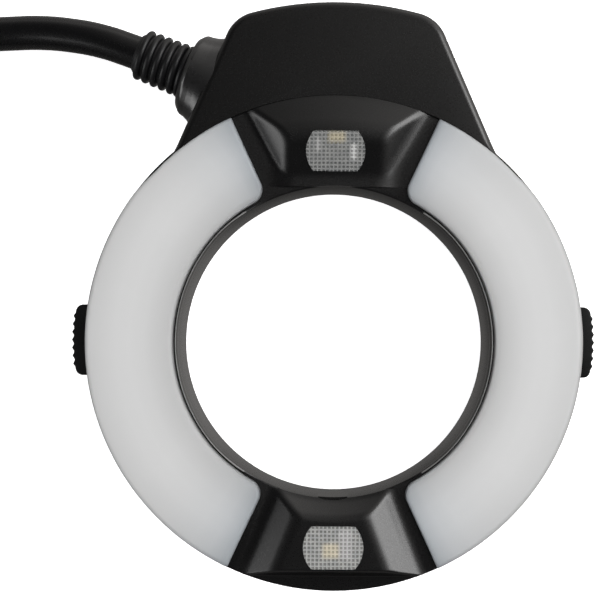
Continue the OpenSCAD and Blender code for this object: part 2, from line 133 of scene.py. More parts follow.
def metal(name, color, rough=0.3, scratch=900.0, strength=0.12, stretch=(1, 1, 12), vary=0.1):
    mat = bpy.data.materials.new(name)
    tree, sh, co = links_of(mat)
    sh.inputs["Metallic"].default_value = 1.0
    mp = tree.nodes.new("ShaderNodeMapping")
    mp.inputs["Scale"].default_value = stretch
    tree.links.new(co, mp.inputs["Vector"])
    g = noise(tree, mp.outputs["Vector"], scratch, 3.0)
    dark = tuple(c * (1 - vary) for c in color)
    light = tuple(min(1.0, c * (1 + vary)) for c in color)
    tree.links.new(ramp(tree, g, [(0.3, dark), (0.7, light)]), sh.inputs["Base Color"])
    tree.links.new(span(tree, g, rough - 0.07, rough + 0.07), sh.inputs["Roughness"])
    bump(tree, sh, g, strength, 0.00002)
    return mat


def rubber(name, color, rough=0.5, strength=0.2):
    return plastic(name, color, rough, grain=2600.0, strength=strength, dist=0.00002, spec=0.3, vary=0.2, drift=60.0)


M = {
    "shell": plastic("black_shell", (0.0026, 0.0026, 0.0028), 0.3, strength=0.05, spec=0.5),
    "cover": plastic("housing_black", (0.002, 0.002, 0.0021), 0.3, strength=0.06, spec=0.46),
    "rear": plastic("rear_black", (0.0042, 0.0042, 0.0045), 0.31, grain=2400.0, strength=0.1, dist=0.00003, spec=0.75),
    "button": plastic("button_black", (0.0062, 0.0062, 0.0064), 0.3, strength=0.05, spec=0.1),
    # painted highlight: the lip's light grey stands in for the light its top edge catches
    "lip": plastic("lip_painted_highlight", (0.15, 0.15, 0.147), 0.4, strength=0.05),
    "chassis": plastic("chassis_grey", (0.03, 0.03, 0.032), 0.5),
    "cord": rubber("cord_black", (0.0032, 0.0032, 0.0035), 0.27, 0.1),
    "boot": rubber("boot_black", (0.0045, 0.0045, 0.005), 0.44),
    "silicone": rubber("tube_boot_white", (0.7, 0.69, 0.67), 0.5),
    "steel": metal("latch_steel", (0.58, 0.58, 0.57)),
    "screw": metal("screw_black", (0.12, 0.12, 0.125), 0.38),
    "bright": metal("reflector_bright", (0.86, 0.86, 0.87), 0.16, strength=0.05),
    "chrome": metal("plug_chrome", (0.7, 0.7, 0.71), 0.18, strength=0.05),
    "gold": metal("contact_gold", (0.83, 0.6, 0.26), 0.2, strength=0.05),
    "board": plastic("board_green", (0.012, 0.085, 0.032), 0.35, grain=1200.0),
    "led_board": plastic("led_board_grey", (0.26, 0.26, 0.255), 0.4, grain=1200.0),
    "transformer": plastic("winding_copper", (0.36, 0.15, 0.05), 0.35, grain=3000.0),
    "capacitor": plastic("capacitor_red", (0.25, 0.03, 0.02), 0.25),
    "header": plastic("header_ivory", (0.62, 0.58, 0.48), 0.45),
    "wire": plastic("wire_red", (0.3, 0.02, 0.02), 0.35),
    "plug": plastic("plug_black", (0.007, 0.007, 0.0075), 0.42),
}


def diffuser_material():
    """Opal acrylic: light spreads a little inside, fine frost on the surface; painted shade makes it cooler and darker
    towards the ends and greyer at its inner and outer edges.
    """
    mat = bpy.data.materials.new("diffuser_opal")
    tree, sh, co = links_of(mat)
    sh.inputs["Specular IOR Level"].default_value = 0.3
    sh.inputs["Subsurface Weight"].default_value = 0.2
    sh.inputs["Subsurface Radius"].default_value = (1.0, 1.0, 1.0)
    sh.inputs["Subsurface Scale"].default_value = 0.0012
    sep = tree.nodes.new("ShaderNodeSeparateXYZ")
    tree.links.new(co, sep.inputs["Vector"])
    flat = []
    for axis in ("Y", "X"):
        m = tree.nodes.new("ShaderNodeMath")
        m.operation = "ABSOLUTE"
        tree.links.new(sep.outputs[axis], m.inputs[0])
        flat.append(m.outputs[0])
    turn = tree.nodes.new("ShaderNodeMath")
    turn.operation = "ARCTAN2"
    for k in (0, 1):
        tree.links.new(flat[k], turn.inputs[k])
    wave = noise(tree, co, 60.0, 2.0)
    reach = tree.nodes.new("ShaderNodeMath")
    reach.operation = "MULTIPLY_ADD"
    tree.links.new(wave, reach.inputs[0])
    reach.inputs[1].default_value = 0.05
    tree.links.new(turn.outputs[0], reach.inputs[2])
    # painted shade: the colour turns darker and cooler towards the ends, where less light reaches
    fade = span(tree, reach.outputs[0], 0.0, 1.0, math.radians(36) + 0.025, math.radians(65) + 0.025)
    painted_end_shade = [(0.0, 1.0, 0.995), (0.345, 0.965, 0.99), (0.653, 0.92, 0.97), (0.81, 0.85, 0.945), (0.915, 0.74, 0.915), (0.98, 0.63, 0.88)]
    ends = ramp(tree, fade, [(p, (0.632 * k * c, 0.631 * k * (1 + c) / 2, 0.629 * k)) for p, k, c in painted_end_shade])
    # painted shade: the inner and outer edges are painted greyer than the middle
    level = tree.nodes.new("ShaderNodeVectorMath")
    level.operation = "MULTIPLY"
    level.inputs[1].default_value = (1, 1, 0)
    tree.links.new(co, level.inputs[0])
    dist = tree.nodes.new("ShaderNodeVectorMath")
    dist.operation = "LENGTH"
    tree.links.new(level.outputs["Vector"], dist.inputs[0])
    across = span(tree, dist.outputs["Value"], 0.0, 1.0, 34.0 * MM, 53.0 * MM)
    edge = [(34.0, 0.76), (35.0, 0.78), (37.0, 0.86), (40.0, 0.96), (43.0, 1.0), (46.0, 0.99), (50.0, 0.92), (51.6, 0.89), (52.05, 0.78), (52.5, 0.56)]
    rim = ramp(tree, across, [((r - 34.0) / 19.0, (k, k, k)) for r, k in edge])
    both = tree.nodes.new("ShaderNodeMix")
    both.data_type = "RGBA"
    both.blend_type = "MULTIPLY"
    both.inputs[0].default_value = 1.0
    tree.links.new(ends, both.inputs[6])
    tree.links.new(rim, both.inputs[7])
    tree.links.new(both.outputs[2], sh.inputs["Base Color"])
    frost = noise(tree, co, 3600.0, 2.0)
    tree.links.new(span(tree, frost, 0.42, 0.54), sh.inputs["Roughness"])
    bump(tree, sh, frost, 0.1, 0.000015)
    return mat


def window_material(name, tone_lo, tone_hi, alpha, rough, painted_patches):
    """Clear moulded plastic, seen through as much as alpha leaves open; the patches are painted light: the lamp's
    yellow glow and painted highlights laid on the window.
    """
    mat = bpy.data.materials.new(name)
    tree, sh, co = links_of(mat)
    sh.inputs["IOR"].default_value = 1.49
    sh.inputs["Alpha"].default_value = alpha
    tone = noise(tree, co, 700.0, 2.0)
    color = ramp(tree, tone, [(0.3, tone_lo), (0.7, tone_hi)])
    sep = tree.nodes.new("ShaderNodeSeparateXYZ")
    tree.links.new(co, sep.inputs["Vector"])
    for centre, half, soft, tint in painted_patches:
        parts = []
        for axis, c, h in zip("XY", centre, half):
            off = tree.nodes.new("ShaderNodeMath")
            off.operation = "SUBTRACT"
            off.inputs[1].default_value = c * MM
            tree.links.new(sep.outputs[axis], off.inputs[0])
            size = tree.nodes.new("ShaderNodeMath")
            size.operation = "ABSOLUTE"
            tree.links.new(off.outputs[0], size.inputs[0])
            parts.append(span(tree, size.outputs[0], 1.0, 0.0, (h - soft) * MM, (h + soft) * MM))
        both = tree.nodes.new("ShaderNodeMath")
        both.operation = "MULTIPLY"
        for k in (0, 1):
            tree.links.new(parts[k], both.inputs[k])
        mix = tree.nodes.new("ShaderNodeMix")
        mix.data_type = "RGBA"
        tree.links.new(both.outputs[0], mix.inputs[0])
        tree.links.new(color, mix.inputs[6])
        mix.inputs[7].default_value = (*tint, 1.0)
        color = mix.outputs[2]
    tree.links.new(color, sh.inputs["Base Color"])
    tree.links.new(span(tree, tone, rough - 0.05, rough + 0.05), sh.inputs["Roughness"])
    return mat


def tube_material():
    mat = bpy.data.materials.new("tube_glass")
    tree, sh, co = links_of(mat)
    sh.inputs["Transmission Weight"].default_value = 0.9
    sh.inputs["IOR"].default_value = 1.46
    tone = noise(tree, co, 200.0, 2.0)
    tree.links.new(ramp(tree, tone, [(0.3, (0.9, 0.92, 0.93)), (0.7, (0.95, 0.96, 0.96))]), sh.inputs["Base Color"])
    tree.links.new(span(tree, tone, 0.03, 0.08), sh.inputs["Roughness"])
    return mat


def led_material():
    """Yellow phosphor, varying a little in tone."""
    mat = bpy.data.materials.new("led_phosphor")
    tree, sh, co = links_of(mat)
    tone = noise(tree, co, 1800.0, 3.0)
    tree.links.new(ramp(tree, tone, [(0.3, (0.86, 0.72, 0.34)), (0.7, (0.98, 0.87, 0.5))]), sh.inputs["Base Color"])
    tree.links.new(span(tree, tone, 0.25, 0.4), sh.inputs["Roughness"])
    bump(tree, sh, tone, 0.1, 0.00003)
    return mat


def woven_material():
    """Hook-and-loop strap: a fine crossed weave."""
    mat = bpy.data.materials.new("tie_woven")
    tree, sh, co = links_of(mat)
    waves = []
    for axis in ("X", "Y"):
        w = tree.nodes.new("ShaderNodeTexWave")
        w.bands_direction = axis
        w.inputs["Scale"].default_value = 900.0
        w.inputs["Distortion"].default_value = 0.4
        tree.links.new(co, w.inputs["Vector"])
        waves.append(w.outputs["Fac"])
    mul = tree.nodes.new("ShaderNodeMath")
    mul.operation = "MULTIPLY"
    tree.links.new(waves[0], mul.inputs[0])
    tree.links.new(waves[1], mul.inputs[1])
    tree.links.new(ramp(tree, mul.outputs[0], [(0.0, (0.006, 0.006, 0.007)), (1.0, (0.02, 0.02, 0.022))]),
                   sh.inputs["Base Color"])
    sh.inputs["Roughness"].default_value = 0.8
    bump(tree, sh, mul.outputs[0], 0.5, 0.0001)
    return mat


M["diffuser"] = diffuser_material()
# painted light: a yellow patch where the lamp shows through brightly, and lighter painted highlights, on each window
UP_PAINTED_LIGHT = [((0.43, 43.2), (1.7, 0.95), 0.5, (1.0, 0.9, 0.7)), ((3.9, 40.2), (0.55, 1.6), 0.4, (1.35, 1.35, 1.33)),
            ((-3.6, 41.6), (0.4, 1.4), 0.4, (0.96, 0.95, 0.945))]
LO_PAINTED_LIGHT = [((-0.3, -43.9), (1.8, 1.5), 0.5, (1.16, 1.06, 0.84)), ((2.75, -42.6), (1.3, 3.2), 0.6, (0.97, 0.955, 0.95))]


def spots(items, level):
    return [(c, h, soft, tuple(min(0.95, level * k) for k in tint)) for c, h, soft, tint in items]


# painted shade: the pits are painted darker than the ridges, and the upper window darker than the lower one
M["up_pit"] = window_material("window_pit_upper", (0.165, 0.17, 0.17), (0.22, 0.22, 0.215), 0.5, 0.14, spots(UP_PAINTED_LIGHT, 0.37))
M["up_ridge"] = window_material("window_ridge_upper", (0.345, 0.35, 0.35), (0.435, 0.435, 0.425), 0.65, 0.26, spots(UP_PAINTED_LIGHT, 0.64))
M["lo_pit"] = window_material("window_pit_lower", (0.215, 0.22, 0.215), (0.275, 0.27, 0.26), 0.65, 0.14, spots(LO_PAINTED_LIGHT, 0.4))
M["lo_ridge"] = window_material("window_ridge_lower", (0.455, 0.465, 0.46), (0.535, 0.53, 0.51), 0.75, 0.26, spots(LO_PAINTED_LIGHT, 0.66))
M["tube"] = tube_material()
M["led"] = led_material()
M["tie"] = woven_material()


# ---------------------------------------------------------------- mesh helpers (millimetres in, metres out)
def mesh_obj(name, verts, faces):
    me = bpy.data.meshes.new(name)
    me.from_pydata([(x * MM, y * MM, z * MM) for x, y, z in verts], [], faces)
    bm = bmesh.new()
    bm.from_mesh(me)
    bmesh.ops.remove_doubles(bm, verts=bm.verts, dist=1e-7)
    bmesh.ops.recalc_face_normals(bm, faces=bm.faces)
    bm.to_mesh(me)
    bm.free()
    ob = bpy.data.objects.new(name, me)
    scene.collection.objects.link(ob)
    return ob


def apply(ob):
    bpy.context.view_layer.update()
    dg = bpy.context.evaluated_depsgraph_get()
    me = bpy.data.meshes.new_from_object(ob.evaluated_get(dg), preserve_all_data_layers=False, depsgraph=dg)
    ob.modifiers.clear()
    old = ob.data
    ob.data = me
    bpy.data.meshes.remove(old)


def boolean(ob, cutter, op):
    keep = ob.data.copy()
    for solver in ("MANIFOLD", "EXACT"):
        m = ob.modifiers.new("cut", "BOOLEAN")
        m.operation = op
        m.object = cutter
        m.solver = solver
        apply(ob)
        if len(ob.data.polygons) > 3 and len(ob.data.polygons) != len(keep.polygons):
            break
        ob.data = keep.copy()
    bpy.data.objects.remove(cutter)
    return ob


def bevel(ob, width, segments=2, angle=30):
    m = ob.modifiers.new("bevel", "BEVEL")
    m.width = width * MM
    m.segments = segments
    m.limit_method = "ANGLE"
    m.angle_limit = math.radians(angle)
    m.use_clamp_overlap = True
    apply(ob)
    return ob


def piece(ob, body, mat, stands_for=(), angle=35):
    ob.data.materials.clear()
    ob.data.materials.append(mat)
    if ob.type == "MESH":
        ob.data.shade_smooth()
        ob.data.set_sharp_from_angle(angle=math.radians(angle))
    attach(ob, body)
    if stands_for:
        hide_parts(*stands_for)
    return ob


def pol(r, deg):
    return r * math.cos(math.radians(deg)), r * math.sin(math.radians(deg))


def revolve(profile, a0=0.0, a1=360.0, n=180):
    full = abs(a1 - a0 - 360) < 1e-6
    cols = n if full else n + 1
    m = len(profile)
    verts, faces = [], []
    for i in range(cols):
        c, s = pol(1.0, a0 + (a1 - a0) * i / n)
        verts += [(r * c, r * s, z) for r, z in profile]
    for i in range(n):
        j = (i + 1) % cols
        for k in range(m):
            l = (k + 1) % m
            faces.append((i * m + k, j * m + k, j * m + l, i * m + l))
    if not full:
        faces.append(tuple(range(m)))
        faces.append(tuple((cols - 1) * m + k for k in reversed(range(m))))
    return verts, faces


def rounded(pts, seg=4):
    """Closed outline from (x, y, radius) corners, with each corner turned into an arc."""
    out = []
    n = len(pts)
    for i in range(n):
        p = Vector(pts[i][:2])
        r = pts[i][2] if len(pts[i]) > 2 else 0
        if r <= 0:
            out.append((p.x, p.y))
            continue
        a = Vector(pts[i - 1][:2]) - p
        b = Vector(pts[(i + 1) % n][:2]) - p
        la, lb = a.length, b.length
        a, b = a / la, b / lb
        half = math.acos(max(-1, min(1, a.dot(b)))) / 2
        cut = min(r / math.tan(half), la * 0.49, lb * 0.49)
        rr = cut * math.tan(half)
        mid = (a + b).normalized()
        c = p + mid * (rr / math.sin(half))
        s0, s1 = p + a * cut - c, p + b * cut - c
        t0 = math.atan2(s0.y, s0.x)
        dt = math.atan2(s1.y, s1.x) - t0
        while dt > math.pi:
            dt -= 2 * math.pi
        while dt < -math.pi:
            dt += 2 * math.pi
        for k in range(seg + 1):
            t = t0 + dt * k / seg
            out.append((c.x + rr * math.cos(t), c.y + rr * math.sin(t)))
    return out


def ccw(loop):
    area = sum(loop[i - 1][0] * loop[i][1] - loop[i][0] * loop[i - 1][1] for i in range(len(loop)))
    return loop if area > 0 else loop[::-1]


def inset(loop, t):
    """A counter-clockwise outline moved inwards by t."""
    n = len(loop)
    out = []
    for i in range(n):
        p0, p1, p2 = (Vector(loop[k % n]) for k in (i - 1, i, i + 1))
        d1, d2 = (p1 - p0).normalized(), (p2 - p1).normalized()
        n1, n2 = Vector((-d1.y, d1.x)), Vector((-d2.y, d2.x))
        b = n1 + n2
        b = n1 if b.length < 1e-6 else b.normalized()
        k = 1 / max(0.45, b.dot(n1))
        q = p1 + b * (t * k)
        out.append((q.x, q.y))
    return out


def prism(loop, z0, z1, top=0.0, bottom=0.0, seg=4):
    loop = ccw(loop)
    rings = []
    if bottom > 0:
        for k in range(seg + 1):
            th = math.pi / 2 * k / seg
            rings.append((bottom * (1 - math.sin(th)), z0 + bottom * (1 - math.cos(th))))
    else:
        rings.append((0, z0))
    if top > 0:
        for k in range(seg + 1):
            th = math.pi / 2 * k / seg
            rings.append((top * (1 - math.cos(th)), z1 - top + top * math.sin(th)))
    else:
        rings.append((0, z1))
    verts, faces = [], []
    n = len(loop)
    for t, z in rings:
        verts += [(x, y, z) for x, y in (loop if t == 0 else inset(loop, t))]
    for k in range(len(rings) - 1):
        for i in range(n):
            j = (i + 1) % n
            faces.append((k * n + i, k * n + j, (k + 1) * n + j, (k + 1) * n + i))
    faces.append(tuple(reversed(range(n))))
    faces.append(tuple((len(rings) - 1) * n + i for i in range(n)))
    return verts, faces


def loft(rings):
    """Closed solid through outlines of equal point count: (outline, height)."""
    verts, faces = [], []
    n = len(rings[0][0])
    for loop, z in rings:
        verts += [(x, y, z) for x, y in loop]
    for k in range(len(rings) - 1):
        for i in range(n):
            j = (i + 1) % n
            faces.append((k * n + i, k * n + j, (k + 1) * n + j, (k + 1) * n + i))
    faces.append(tuple(reversed(range(n))))
    faces.append(tuple((len(rings) - 1) * n + i for i in range(n)))
    return verts, faces


def hull_obj(name, pts, edges_of=None, width=0.0, segments=3):
    """Convex solid over the points; edges_of picks the edges that get a rounded corner."""
    bm = bmesh.new()
    for p in pts:
        bm.verts.new([c * MM for c in p])
    res = bmesh.ops.convex_hull(bm, input=bm.verts)
    junk = [g for g in res["geom_interior"] + res["geom_unused"] if isinstance(g, bmesh.types.BMVert)]
    bmesh.ops.delete(bm, geom=list(set(junk)), context="VERTS")
    bmesh.ops.dissolve_limit(bm, angle_limit=math.radians(0.6), verts=bm.verts, edges=bm.edges)
    if edges_of:
        chosen = [e for e in bm.edges if edges_of(*[v.co / MM for v in e.verts])]
        bmesh.ops.bevel(bm, geom=chosen, offset=width * MM, offset_type="OFFSET", segments=segments,
                        profile=0.5, affect="EDGES", clamp_overlap=True)
    bmesh.ops.recalc_face_normals(bm, faces=bm.faces)
    me = bpy.data.meshes.new(name)
    bm.to_mesh(me)
    bm.free()
    ob = bpy.data.objects.new(name, me)
    scene.collection.objects.link(ob)
    return ob


def moved(verts, mat):
    """Points in millimetres through a 4x4 matrix in millimetres."""
    return [tuple(mat @ Vector(v)) for v in verts]


def catmull(pts, per):
    """Smooth line through points of any dimension."""
    out = []
    n = len(pts)
    for i in range(n - 1):
        p0, p1, p2, p3 = (Vector(pts[max(0, min(n - 1, k))]) for k in (i - 1, i, i + 1, i + 2))
        for k in range(per):
            t = k / per
            out.append(tuple(0.5 * ((2 * p1) + (p2 - p0) * t + (2 * p0 - 5 * p1 + 4 * p2 - p3) * t * t
                                    + (3 * p1 - p0 - 3 * p2 + p3) * t ** 3)))
    out.append(tuple(pts[-1]))
    return out


# ---------------------------------------------------------------- cord
GLAND = Vector((-32.3, 58.9, 9.0))
GA = 158.3
GU = Vector((*pol(1, GA), 0))
COIL = (-130.0, 19.0)
PLUG = Vector((-96.7, 47.0, 14.4))
PU = Vector((*pol(1, 142), 0))


def coil_at(deg, r, z):
    x, y = pol(r, deg)
    return Vector((COIL[0] + x, COIL[1] + y, z))


SAG = Vector((-GU.y, GU.x, 0))
route = [GLAND, GLAND + 4 * GU + 0.12 * SAG, GLAND + 8 * GU + 0.28 * SAG, GLAND + 12 * GU + 0.42 * SAG]
route += [Vector(p) for p in ((-51, 65.4, 8.6), (-58, 66.88, 7.6), (-65, 67.68, 6.3), (-72, 67.75, 5.1), (-80, 67.45, 4.3),
                              (-90, 67.3, 3.9), (-104, 67, 3.75), (-118, 67, 3.75))]
for deg in range(90, 631, 15):
    f = min(1.0, max(0.0, (deg - 310) / 140))
    f = f * f * (3 - 2 * f)
    route.append(coil_at(deg, 48 - 7.4 * f, 3.75))
route += [coil_at(*p) for p in ((283, 40.7, 4.3), (296, 40.8, 6.2), (308, 41.2, 8.4), (322, 41.8, 10.8), (338, 42.4, 12.2),
                                (354, 43, 13.0), (370, 43.3, 13.7), (384, 43.4, 14.2))]
route += [PLUG, PLUG + 6 * PU]

curve = bpy.data.curves.new("cable", "CURVE")
curve.dimensions = "3D"
curve.bevel_depth = 3.7 * MM
curve.bevel_resolution = 8
curve.resolution_u = 10
curve.use_fill_caps = True
spline = curve.splines.new("BEZIER")
spline.bezier_points.add(len(route) - 1)
for bp, p in zip(spline.bezier_points, route):
    bp.co = p * MM
    bp.handle_left_type = bp.handle_right_type = "AUTO"
cable = bpy.data.objects.new("cable", curve)
scene.collection.objects.link(cable)
curve.materials.append(M["cord"])
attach(cable, "head")
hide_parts("cable_lead", "cable_coil", "cable_tail")
LENGTH = sum((b - a).length for a, b in zip(route, route[1:])) * MM


# ---------------------------------------------------------------- housing outline
S_P, S_D, S_N = Vector((24.05, 63.8)), Vector((-0.4, 0.9165)).normalized(), Vector((-0.9165, -0.4)).normalized()
TOP_C, TOP_R, COR_R = Vector((0, 2.5)), 70.0, 8.0
_q = S_P + COR_R * S_N - TOP_C
_b = _q.dot(S_D)
_k = _q.dot(_q) - (TOP_R - COR_R) ** 2
COR = S_P + COR_R * S_N + S_D * (-_b + math.sqrt(_b * _b - _k))


def housing_arc(t=0.0):
    """Right foot to left foot, over the top: the points above the side lines' ends."""
    r = COR_R - t
    a0 = math.degrees(math.atan2(-S_N.y, -S_N.x))
    d = COR - TOP_C
    a1 = math.degrees(math.atan2(d.y, d.x))
    right = [(COR.x + pol(r, a0 + (a1 - a0) * k / 14)[0], COR.y + pol(r, a0 + (a1 - a0) * k / 14)[1]) for k in range(15)]
    top = []
    for k in range(1, 40):
        x, y = pol(TOP_R - t, a1 + (180 - 2 * a1) * k / 40)
        top.append((TOP_C.x + x, TOP_C.y + y))
    return right + top + [(-x, y) for x, y in reversed(right)]


def side_line(p, q, n=10):
    return [(p[0] + (q[0] - p[0]) * k / n, p[1] + (q[1] - p[1]) * k / n) for k in range(n)]


FOOT_R = 14.0


def foot_fillet(radius, t=0.0, n=8):
    """Points from the ring, round a hollow corner, to the right side line (moved in by t)."""
    rf = FOOT_R + t
    out = -S_N
    c0 = S_P + S_N * t + out * rf
    b = c0.dot(S_D)
    k = c0.dot(c0) - (radius + rf) ** 2
    tau = max(-b - math.sqrt(b * b - k), -b + math.sqrt(b * b - k))
    c = c0 + S_D * tau
    p0 = c * (radius / (radius + rf))
    p1 = c - out * rf
    a0 = math.atan2(p0.y - c.y, p0.x - c.x)
    a1 = math.atan2(p1.y - c.y, p1.x - c.x)
    while a1 - a0 > math.pi:
        a1 -= 2 * math.pi
    while a1 - a0 < -math.pi:
        a1 += 2 * math.pi
    return [(c.x + rf * math.cos(a0 + (a1 - a0) * i / n), c.y + rf * math.sin(a0 + (a1 - a0) * i / n)) for i in range(n + 1)]


def outline(radius, t, full):
    arc = housing_arc(t)
    hollow = foot_fillet(radius, t)
    a = math.degrees(math.atan2(hollow[0][1], hollow[0][0]))
    if full:
        low = [pol(radius, 180 - a + (180 + 2 * a) * k / 150) for k in range(151)]
    else:
        low = [pol(radius, 180 - a + (2 * a - 180) * k / 48) for k in range(49)]
    right = hollow[:-1] + side_line(hollow[-1], arc[0])
    left = [(-x, y) for x, y in reversed(right)]
    return right + arc + left[:-1] + low[:-1]


def housing_loop(radius, t=0.0):
    """Housing outline, closed below by a circle of that radius."""
    return outline(radius, t, False)


def casing_loop(radius, t=0.0):
    """Housing outline joined with the ring."""
    return outline(radius, t, True)


# ---------------------------------------------------------------- housing cover
EDGE, LAP = 1.65, 52.45
rings = [(housing_loop(LAP, 0.15), 12.52), (housing_loop(LAP, 0.0), 12.67)]
for k in range(9):
    th = math.pi / 2 * k / 8
    rings.append((housing_loop(LAP, EDGE * (1 - math.cos(th))), 17.5 - EDGE * (1 - math.sin(th))))
v, f = loft(rings)
cover = mesh_obj("housing_front", v, f)
# the front plate laps over the rim of the ring
v, f = revolve([(0, 10), (53.15, 10), (53.15, 16.6), (0, 16.6)], n=240)
boolean(cover, mesh_obj("rim_cut", v, f), "DIFFERENCE")
v, f = loft([(housing_loop(54.7, 1.6), 11.0), (housing_loop(54.7, 1.6), 16.0)])
boolean(cover, mesh_obj("room", v, f), "DIFFERENCE")
piece(cover, "head", M["cover"], ["housing_cover"], 40)

# ---------------------------------------------------------------- rear casing
v, f = prism(casing_loop(52.8), 2.02, 13.48, top=0.25, bottom=0.25, seg=2)
casing = mesh_obj("rear_casing_shell", v, f)
# the ring's wall stands higher than the housing's
v, f = prism(housing_loop(52.83, -2.0), 12.48, 15.0)
boolean(casing, mesh_obj("step_cut", v, f), "DIFFERENCE")
inner = casing_loop(50.9, 1.6)
v, f = prism(inner, 0, 20)
boolean(casing, mesh_obj("room", v, f), "DIFFERENCE")
# screw posts
for s in (1, -1):
    v, f = prism([(s * COR.x + pol(2.6, 15 * k)[0], COR.y + pol(2.6, 15 * k)[1]) for k in range(24)], 2.02, 12.4)
    boolean(casing, mesh_obj("post", v, f), "UNION")
    rib = [(0, -0.7), (7.2, -0.7), (7.2, 0.7), (0, 0.7)]
    c, sn = math.cos(math.radians(40)), math.sin(math.radians(40))
    loop = [(s * (COR.x + x * c - y * sn), COR.y + x * sn + y * c) for x, y in rib]
    v, f = prism(loop, 3.0, 12.4)
    boolean(casing, mesh_obj("rib", v, f), "UNION")
# round cable boss: shoulder, flare into the wall
boss_profile = rounded([(0, -9.5), (10.3, -9.5), (10.2, -6.2, 0.3), (9.65, -5.2, 1.0), (9.1, -4.0, 1.2), (8.85, -2.7, 1.0),
                        (8.75, -1.5, 1.0), (7.5, -0.3, 0.8), (6.2, 0.0, 0.3), (4.6, 0.0), (0, 0.0)], 5)
v, f = revolve(boss_profile, n=96)
LOW = [(-9.5, 1.2), (-6.2, 1.19), (-5.0, 1.155), (-4.0, 1.115), (-3.0, 1.08), (-2.2, 1.06), (-1.5, 1.055), (0.5, 1.05)]


def low_side(z):
    """How much wider the boss is on its lower side."""
    for (za, ka), (zb, kb) in zip(LOW, LOW[1:]):
        if z <= zb:
            return ka + (kb - ka) * (z - za) / (zb - za)
    return LOW[-1][1]


v = [(x * min(1.0, 8.35 / max(0.1, math.hypot(x, y))), y * (low_side(z) if y > 0 and math.hypot(x, y) > 4.7 else 1.0), z) for x, y, z in v]
to_gland = Matrix.Translation(GLAND) @ Matrix.Rotation(math.radians(GA), 4, "Z") @ Matrix.Rotation(math.radians(90), 4, "Y")
boss = mesh_obj("boss", moved(v, to_gland), f)
v, f = prism([(-70, 20), (10, 20), (10, 100), (-70, 100)], -20, 2.02)
boolean(boss, mesh_obj("floor_cut", v, f), "DIFFERENCE")
edge = [(housing_loop(50.0, EDGE * (1 - math.cos(math.pi / 16 * k)) - 0.03), 17.52 - EDGE * (1 - math.sin(math.pi / 16 * k))) for k in range(9)]
v, f = loft([(housing_loop(50.0, -0.03), 12.48)] + edge)
boolean(boss, mesh_obj("cover_cut", v, f), "DIFFERENCE")
v, f = prism(casing_loop(50.9, 1.6), -5, 12.49)
boolean(boss, mesh_obj("room_cut", v, f), "DIFFERENCE")
boolean(casing, boss, "UNION")
v, f = revolve([(0, -14), (4.3, -14), (4.3, 4), (0, 4)], n=48)
boolean(casing, mesh_obj("bore", moved(v, to_gland), f), "DIFFERENCE")
for s in (1, -1):
    v, f = prism([(s * 52 - 4, -8.2), (s * 52 + 4, -8.2), (s * 52 + 4, 8.2), (s * 52 - 4, 8.2)], 1, 10.6)
    boolean(casing, mesh_obj("slot", v, f), "DIFFERENCE")
piece(casing, "head", M["rear"], ["rear_casing"], 40)

# ---------------------------------------------------------------- front frame
TILT = math.radians(20.2)
UPPER = Matrix.Translation(Vector((0, 39.85, 18.95))) @ Matrix.Rotation(TILT, 4, "X")
LOWER = Matrix.Translation(Vector((0, -43.05, 20.0)))


def bore_r(z, grow=0.0):
    return 32.4 + (z - 6.4) * 0.9 / 12.3 + grow


profile = rounded([(bore_r(6.42), 6.42, 0.2), (bore_r(16.5), 16.5, 0.35), (53.0, 16.5, 0.2), (53.0, 13.52, 0.2), (51.1, 13.52),
                   (51.1, 14.9), (34.6, 14.9), (34.6, 7.6), (39.0, 7.6), (39.0, 6.42)], 4)
v, f = revolve(profile, n=240)
front = mesh_obj("front_ring", v, f)

# lips beside the diffusers, which fall to the rim at their ends
LIP_R = 33.62


def lip_obj(centre):
    verts, faces, m = [], [], 8
    cols = 140
    for i in range(cols + 1):
        a = -66.0 + 132.0 * i / cols
        t = min(1.0, max(0.0, (66.0 - abs(a)) / 26.0))
        top = 16.42 + 2.28 * t * t * (3 - 2 * t)
        out = min(0.15, (top - 16.0) / 4)
        edge = min(0.25, (top - 16.0) / 3)
        c, sn = pol(1.0, centre + a)
        for r, z in ((bore_r(16.0), 16.0), (LIP_R, 16.0), (LIP_R, top - out), (LIP_R - out * 0.3, top - out * 0.3), (LIP_R - out, top),
                     (bore_r(top) + edge, top), (bore_r(top) + edge * 0.3, top - edge * 0.3), (bore_r(top - edge), top - edge)):
            verts.append((r * c, r * sn, z))
    for i in range(cols):
        for k in range(m):
            l = (k + 1) % m
            faces.append((i * m + k, (i + 1) * m + k, (i + 1) * m + l, i * m + l))
    faces.append(tuple(range(m)))
    faces.append(tuple(cols * m + k for k in reversed(range(m))))
    return mesh_obj("lip", verts, faces)


for a in (0, 180):
    boolean(front, lip_obj(a), "UNION")

# pods
RIM = 16.5


def smin(a, b, k):
    h = max(k - abs(a - b), 0.0) / k
    return min(a, b) - h * h * k / 4


def smax(a, b, k):
    return -smin(-a, -b, k)


def rising(p, q, slope):
    """Plane that rises from the rim to the left of the line p-q."""
    d = (Vector(q) - Vector(p)).normalized()
    return lambda x, y: RIM + slope * ((y - p[1]) * d.x - (x - p[0]) * d.y)


